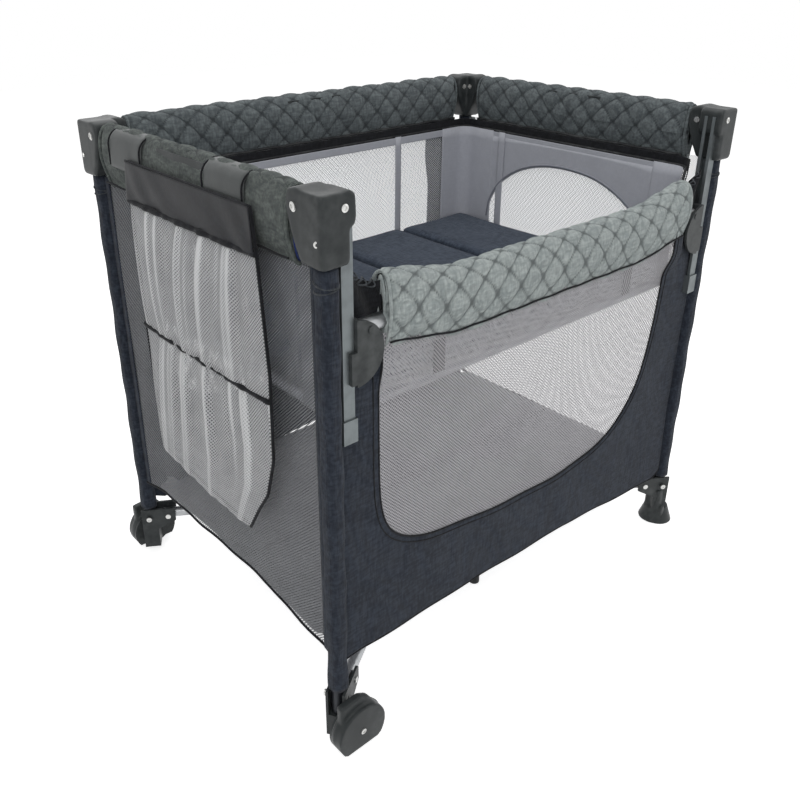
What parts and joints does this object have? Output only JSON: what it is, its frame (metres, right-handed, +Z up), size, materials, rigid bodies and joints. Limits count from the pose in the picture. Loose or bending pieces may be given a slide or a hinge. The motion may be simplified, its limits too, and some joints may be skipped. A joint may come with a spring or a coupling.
{
  "type": "travel play yard",
  "caption": "Folding play yard with corner posts, quilted top rails, a sliding drop side, a zip-in bassinet with a folding mattress, hanging pockets and casters.",
  "frame": {"origin": "on the floor, midway between the four posts", "axes": "+X along the long side, away from the casters and organiser; +Y across, away from the drop side; +Z up"},
  "size_m": [0.9373, 0.6826, 0.855],
  "materials": {
    "post_steel": "satin",
    "tube_steel": "satin",
    "grey_plastic": "moulded, slight sheen",
    "dark_plastic": "matt",
    "guard_plastic": "smooth moulded",
    "button_plastic": "moulded",
    "rivet_steel": "domed rivets",
    "wheel_rubber": "matt",
    "guide_aluminium": "anodised",
    "light_quilt": "heather, quilted",
    "dark_quilt": "heather, quilted",
    "grey_mesh": "net",
    "navy_fabric": "melange weave",
    "floor_fabric": "woven",
    "bassinet_fabric": "woven with white net windows",
    "mattress_fabric": "melange weave",
    "organiser_fabric": "satin with gathered net pockets"
  },
  "bodies": {
    "frame_back_left": {"post_back_left": "post_steel", "cap_back_left": "grey_plastic", "pins_back_left": "rivet_steel", "caster_housing_back_left": "grey_plastic", "panel_back": "navy_fabric", "panel_left": "grey_mesh", "organiser": "organiser_fabric"},
    "post_front_left": {"post_front_left": "post_steel", "cap_front_left": "grey_plastic", "pins_front_left": "rivet_steel", "caster_housing_front_left": "grey_plastic", "guide_left": "guide_aluminium", "panel_front": "navy_fabric"},
    "post_front_right": {"post_front_right": "post_steel", "cap_front_right": "grey_plastic", "pins_front_right": "rivet_steel", "foot_front_right": "grey_plastic", "guide_right": "guide_aluminium"},
    "post_back_right": {"post_back_right": "post_steel", "cap_back_right": "grey_plastic", "pins_back_right": "rivet_steel", "foot_back_right": "grey_plastic", "panel_right": "navy_fabric"},
    "hub": {"hub": "grey_plastic", "floor_fabric": "floor_fabric"},
    "bassinet": {"bassinet": "bassinet_fabric"},
    "lower_tube_front_left": {"lower_tube_front_left": "tube_steel"},
    "lower_tube_back_left": {"lower_tube_back_left": "tube_steel"},
    "lower_tube_front_right": {"lower_tube_front_right": "tube_steel"},
    "lower_tube_back_right": {"lower_tube_back_right": "tube_steel"},
    "centre_leg_front": {"centre_leg_front": "dark_plastic"},
    "centre_leg_back": {"centre_leg_back": "dark_plastic"},
    "wheel_front_left": {"wheel_front_left": "wheel_rubber"},
    "wheel_back_left": {"wheel_back_left": "wheel_rubber"},
    "slider_left": {"slider_left": "grey_plastic"},
    "slider_right": {"slider_right": "grey_plastic"},
    "mattress_panel_1": {"mattress_panel_1": "mattress_fabric"},
    "mattress_panel_2": {"mattress_panel_2": "mattress_fabric"},
    "mattress_panel_3": {"mattress_panel_3": "mattress_fabric"},
    "mattress_panel_4": {"mattress_panel_4": "mattress_fabric"},
    "rail_left_rear_half": {"rail_left_rear_half": "guard_plastic"},
    "rail_left_front_half": {"rail_left_front_half": "guard_plastic"},
    "latch_left": {"latch_left": "grey_plastic", "rail_cover_left": "dark_quilt"},
    "latch_button_left": {"latch_button_left": "button_plastic"},
    "rail_right_rear_half": {"rail_right_rear_half": "tube_steel"},
    "rail_right_front_half": {"rail_right_front_half": "tube_steel"},
    "latch_right": {"latch_right": "grey_plastic", "rail_cover_right": "dark_quilt"},
    "latch_button_right": {"latch_button_right": "button_plastic"},
    "rail_back_left_half": {"rail_back_left_half": "tube_steel"},
    "rail_back_right_half": {"rail_back_right_half": "tube_steel"},
    "latch_back": {"latch_back": "grey_plastic", "rail_cover_back": "dark_quilt"},
    "latch_button_back": {"latch_button_back": "button_plastic"},
    "rail_front_left_half": {"rail_front_left_half": "tube_steel"},
    "rail_front_right_half": {"rail_front_right_half": "tube_steel"},
    "latch_front": {"latch_front": "grey_plastic", "rail_cover_front": "light_quilt"},
    "latch_button_front": {"latch_button_front": "button_plastic"}
  },
  "joints": [
    {"name": "fold", "type": "hinge", "parent": "frame_back_left", "child": "lower_tube_back_left", "pos_m": [-0.39952, 0.28084, 0.088], "axis": [-0.5322, -0.8466, 0], "range_deg": [0, 84], "deforming": ["panel_front", "panel_back", "panel_left", "panel_right", "organiser", "floor_fabric", "bassinet", "rail_cover_left", "rail_cover_right", "rail_cover_back", "rail_cover_front"]},
    {"name": "hub_level", "type": "hinge", "parent": "lower_tube_back_left", "child": "hub", "pos_m": [-0.04952, 0.06084, 0.088], "axis": [-0.5322, -0.8466, 0], "range_deg": [-84, 0]},
    {"name": "lower_tube_front_left_hinge", "type": "hinge", "parent": "hub", "child": "lower_tube_front_left", "pos_m": [-0.04952, -0.06084, 0.088], "axis": [0.5322, -0.8466, 0], "range_deg": [0, 84]},
    {"name": "post_front_left_hinge", "type": "hinge", "parent": "lower_tube_front_left", "child": "post_front_left", "pos_m": [-0.39952, -0.28084, 0.088], "axis": [0.5322, -0.8466, 0], "range_deg": [-84, 0]},
    {"name": "lower_tube_front_right_hinge", "type": "hinge", "parent": "hub", "child": "lower_tube_front_right", "pos_m": [0.04952, -0.06084, 0.088], "axis": [0.5322, 0.8466, 0], "range_deg": [0, 84]},
    {"name": "post_front_right_hinge", "type": "hinge", "parent": "lower_tube_front_right", "child": "post_front_right", "pos_m": [0.39952, -0.28084, 0.088], "axis": [0.5322, 0.8466, 0], "range_deg": [-84, 0]},
    {"name": "lower_tube_back_right_hinge", "type": "hinge", "parent": "hub", "child": "lower_tube_back_right", "pos_m": [0.04952, 0.06084, 0.088], "axis": [-0.5322, 0.8466, 0], "range_deg": [0, 84]},
    {"name": "post_back_right_hinge", "type": "hinge", "parent": "lower_tube_back_right", "child": "post_back_right", "pos_m": [0.39952, 0.28084, 0.088], "axis": [-0.5322, 0.8466, 0], "range_deg": [-84, 0]},
    {"name": "centre_leg_front_hinge", "type": "hinge", "parent": "hub", "child": "centre_leg_front", "pos_m": [-0.012, -0.045, 0.088], "axis": [1, 0, 0], "range_deg": [0, 84]},
    {"name": "centre_leg_back_hinge", "type": "hinge", "parent": "hub", "child": "centre_leg_back", "pos_m": [0.012, 0.045, 0.088], "axis": [-1, 0, 0], "range_deg": [0, 84]},
    {"name": "rail_left_rear_half_hinge", "type": "hinge", "parent": "frame_back_left", "child": "rail_left_rear_half", "pos_m": [-0.43, 0.27, 0.832], "axis": [1, 0, 0], "range_deg": [0, 84]},
    {"name": "latch_left_rear_pin", "type": "hinge", "parent": "rail_left_rear_half", "child": "latch_left", "pos_m": [-0.43, 0.05, 0.832], "axis": [1, 0, 0], "range_deg": [-84, 0]},
    {"name": "rail_left_front_half_hinge", "type": "hinge", "parent": "latch_left", "child": "rail_left_front_half", "pos_m": [-0.43, -0.05, 0.832], "axis": [1, 0, 0], "range_deg": [-84, 0]},
    {"name": "latch_button_left_push", "type": "slide", "parent": "latch_left", "child": "latch_button_left", "axis": [0, 0, 1], "range_m": [0, 0.005], "stiffness_N_per_m": 200},
    {"name": "rail_back_left_half_hinge", "type": "hinge", "parent": "frame_back_left", "child": "rail_back_left_half", "pos_m": [-0.4, 0.3, 0.832], "axis": [0, 1, 0], "range_deg": [0, 84]},
    {"name": "latch_back_left_pin", "type": "hinge", "parent": "rail_back_left_half", "child": "latch_back", "pos_m": [-0.05, 0.3, 0.832], "axis": [0, 1, 0], "range_deg": [-84, 0]},
    {"name": "rail_back_right_half_hinge", "type": "hinge", "parent": "latch_back", "child": "rail_back_right_half", "pos_m": [0.05, 0.3, 0.832], "axis": [0, 1, 0], "range_deg": [-84, 0]},
    {"name": "latch_button_back_push", "type": "slide", "parent": "latch_back", "child": "latch_button_back", "axis": [0, 0, 1], "range_m": [0, 0.005], "stiffness_N_per_m": 200},
    {"name": "rail_right_rear_half_hinge", "type": "hinge", "parent": "post_back_right", "child": "rail_right_rear_half", "pos_m": [0.43, 0.27, 0.832], "axis": [1, 0, 0], "range_deg": [0, 84]},
    {"name": "latch_right_rear_pin", "type": "hinge", "parent": "rail_right_rear_half", "child": "latch_right", "pos_m": [0.43, 0.05, 0.832], "axis": [1, 0, 0], "range_deg": [-84, 0]},
    {"name": "rail_right_front_half_hinge", "type": "hinge", "parent": "latch_right", "child": "rail_right_front_half", "pos_m": [0.43, -0.05, 0.832], "axis": [1, 0, 0], "range_deg": [-84, 0]},
    {"name": "latch_button_right_push", "type": "slide", "parent": "latch_right", "child": "latch_button_right", "axis": [0, 0, 1], "range_m": [0, 0.005], "stiffness_N_per_m": 200},
    {"name": "drop_side", "type": "slide", "parent": "post_front_left", "child": "slider_left", "axis": [0, 0, 1], "range_m": [-0.044, 0.157]},
    {"name": "drop_side_right", "type": "slide", "parent": "post_front_right", "child": "slider_right", "axis": [0, 0, 1], "range_m": [-0.044, 0.157]},
    {"name": "rail_front_left_half_hinge", "type": "hinge", "parent": "slider_left", "child": "rail_front_left_half", "pos_m": [-0.375, -0.3, 0.675], "axis": [0, 1, 0], "range_deg": [0, 84]},
    {"name": "latch_front_left_pin", "type": "hinge", "parent": "rail_front_left_half", "child": "latch_front", "pos_m": [-0.025, -0.3, 0.675], "axis": [0, 1, 0], "range_deg": [-84, 0]},
    {"name": "rail_front_right_half_hinge", "type": "hinge", "parent": "latch_front", "child": "rail_front_right_half", "pos_m": [0.025, -0.3, 0.675], "axis": [0, 1, 0], "range_deg": [-84, 0]},
    {"name": "latch_button_front_push", "type": "slide", "parent": "latch_front", "child": "latch_button_front", "axis": [0, 0, 1], "range_m": [0, 0.005], "stiffness_N_per_m": 200},
    {"name": "wheel_front_left_spin", "type": "hinge", "parent": "post_front_left", "child": "wheel_front_left", "pos_m": [-0.417, -0.328, 0.038], "axis": [0, 1, 0], "continuous": true},
    {"name": "wheel_back_left_spin", "type": "hinge", "parent": "frame_back_left", "child": "wheel_back_left", "pos_m": [-0.417, 0.328, 0.038], "axis": [0, 1, 0], "continuous": true},
    {"name": "bassinet_lift", "type": "slide", "parent": "hub", "child": "bassinet", "axis": [0, 0, 1], "range_m": [0, 0.735]},
    {"name": "mattress_lift", "type": "slide", "parent": "bassinet", "child": "mattress_panel_2", "axis": [0, 0, 1], "range_m": [0, 0.3]},
    {"name": "mattress_crease_1", "type": "hinge", "parent": "mattress_panel_2", "child": "mattress_panel_1", "pos_m": [-0.194, 0, 0.5633], "axis": [0, 1, 0], "range_deg": [0, 90]},
    {"name": "mattress_crease_2", "type": "hinge", "parent": "mattress_panel_2", "child": "mattress_panel_3", "pos_m": [0, 0, 0.5633], "axis": [0, -1, 0], "range_deg": [0, 90]},
    {"name": "mattress_crease_3", "type": "hinge", "parent": "mattress_panel_3", "child": "mattress_panel_4", "pos_m": [0.194, 0, 0.5633], "axis": [0, -1, 0], "range_deg": [0, 90]}
  ],
  "couplings": [
    {"joint": "hub_level", "follows": "fold", "ratio": -1},
    {"joint": "lower_tube_front_left_hinge", "follows": "fold", "ratio": 1},
    {"joint": "post_front_left_hinge", "follows": "fold", "ratio": -1},
    {"joint": "lower_tube_front_right_hinge", "follows": "fold", "ratio": 1},
    {"joint": "post_front_right_hinge", "follows": "fold", "ratio": -1},
    {"joint": "lower_tube_back_right_hinge", "follows": "fold", "ratio": 1},
    {"joint": "post_back_right_hinge", "follows": "fold", "ratio": -1},
    {"joint": "centre_leg_front_hinge", "follows": "fold", "ratio": 1},
    {"joint": "centre_leg_back_hinge", "follows": "fold", "ratio": 1},
    {"joint": "rail_left_rear_half_hinge", "follows": "fold", "ratio": 1},
    {"joint": "latch_left_rear_pin", "follows": "fold", "ratio": -1},
    {"joint": "rail_left_front_half_hinge", "follows": "fold", "ratio": -1},
    {"joint": "rail_back_left_half_hinge", "follows": "fold", "ratio": 1},
    {"joint": "latch_back_left_pin", "follows": "fold", "ratio": -1},
    {"joint": "rail_back_right_half_hinge", "follows": "fold", "ratio": -1},
    {"joint": "rail_right_rear_half_hinge", "follows": "fold", "ratio": 1},
    {"joint": "latch_right_rear_pin", "follows": "fold", "ratio": -1},
    {"joint": "rail_right_front_half_hinge", "follows": "fold", "ratio": -1},
    {"joint": "drop_side_right", "follows": "drop_side", "ratio": 1},
    {"joint": "rail_front_left_half_hinge", "follows": "fold", "ratio": 1},
    {"joint": "latch_front_left_pin", "follows": "fold", "ratio": -1},
    {"joint": "rail_front_right_half_hinge", "follows": "fold", "ratio": -1},
    {"joint": "bassinet_lift", "follows": "fold", "m_per_rad": 0.5}
  ]
}
